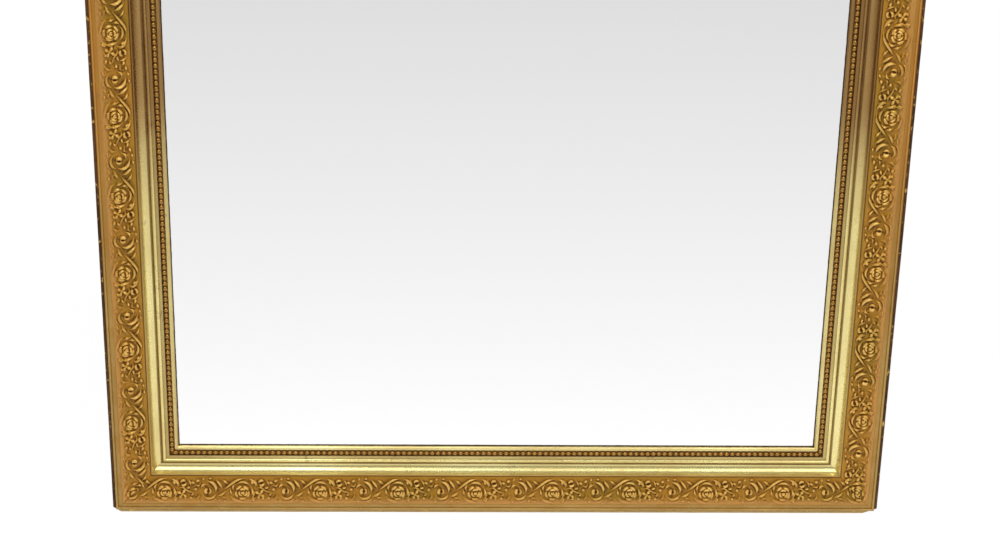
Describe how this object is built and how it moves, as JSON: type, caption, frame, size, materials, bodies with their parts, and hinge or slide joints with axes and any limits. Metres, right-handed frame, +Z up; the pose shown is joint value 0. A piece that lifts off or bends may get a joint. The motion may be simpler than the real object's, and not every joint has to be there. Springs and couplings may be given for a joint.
{
  "type": "pier mirror",
  "caption": "Tall rectangular wall mirror in a mitred gilt frame with a rose and scroll frieze, a beaded edge and hanging rings on its back.",
  "frame": {"origin": "centre of the back, on the back face of the middle backboard, where the back meets the wall", "axes": "+Z up along the mirror's height, +Y out of the back into the wall, -Y out of the glass, +X to the viewer's right"},
  "size_m": [1.2, 0.068, 1.8],
  "materials": {
    "slip_gilding": "burnished gilding over gesso",
    "gilding": "gilding over gesso, matt with burnished hollows, aged",
    "composition": "gilded pressed composition, aged, dark in the recesses",
    "worn_gilding": "dark worn gilding with flecks of gold",
    "softwood": "bare aged softwood",
    "backboard": "bare aged softwood board, darker",
    "mirror_glass": "clear silvered plate",
    "steel": "zinc-plated steel, dulled"
  },
  "bodies": {
    "body": {"slip_left": "slip_gilding", "moulding_left": "gilding", "pearls_left": "composition", "ornament_left": "composition", "side_board_left": "worn_gilding", "back_frame_left": "softwood", "glazing_block_left_1": "softwood", "glazing_block_left_2": "softwood", "slip_top": "slip_gilding", "moulding_top": "gilding", "pearls_top": "composition", "ornament_top": "composition", "side_board_top": "worn_gilding", "back_frame_top": "softwood", "glazing_block_top_1": "softwood", "glazing_block_top_2": "softwood", "slip_right": "slip_gilding", "moulding_right": "gilding", "pearls_right": "composition", "ornament_right": "composition", "side_board_right": "worn_gilding", "back_frame_right": "softwood", "glazing_block_right_1": "softwood", "glazing_block_right_2": "softwood", "slip_bottom": "slip_gilding", "moulding_bottom": "gilding", "pearls_bottom": "composition", "ornament_bottom": "composition", "side_board_bottom": "worn_gilding", "back_frame_bottom": "softwood", "glazing_block_bottom_1": "softwood", "glazing_block_bottom_2": "softwood", "mirror_plate": "mirror_glass", "backboard_1": "backboard", "board_screw_left_1": "steel", "board_screw_right_1": "steel", "backboard_2": "backboard", "board_screw_left_2": "steel", "board_screw_right_2": "steel", "backboard_3": "backboard", "board_screw_left_3": "steel", "board_screw_right_3": "steel", "backboard_4": "backboard", "board_screw_left_4": "steel", "board_screw_right_4": "steel", "backboard_5": "backboard", "board_screw_left_5": "steel", "board_screw_right_5": "steel", "strap_left": "steel", "strap_screw_left_1": "steel", "strap_screw_left_2": "steel", "strap_right": "steel", "strap_screw_right_1": "steel", "strap_screw_right_2": "steel"},
    "ring_left": {"ring_left": "steel"},
    "ring_right": {"ring_right": "steel"}
  },
  "joints": [
    {"name": "ring_left_swing", "type": "hinge", "parent": "body", "child": "ring_left", "pos_m": [-0.547, 0.0041, 0.56], "axis": [1, 0, 0], "range_deg": [0, 180]},
    {"name": "ring_right_swing", "type": "hinge", "parent": "body", "child": "ring_right", "pos_m": [0.547, 0.0041, 0.56], "axis": [1, 0, 0], "range_deg": [0, 180]}
  ]
}
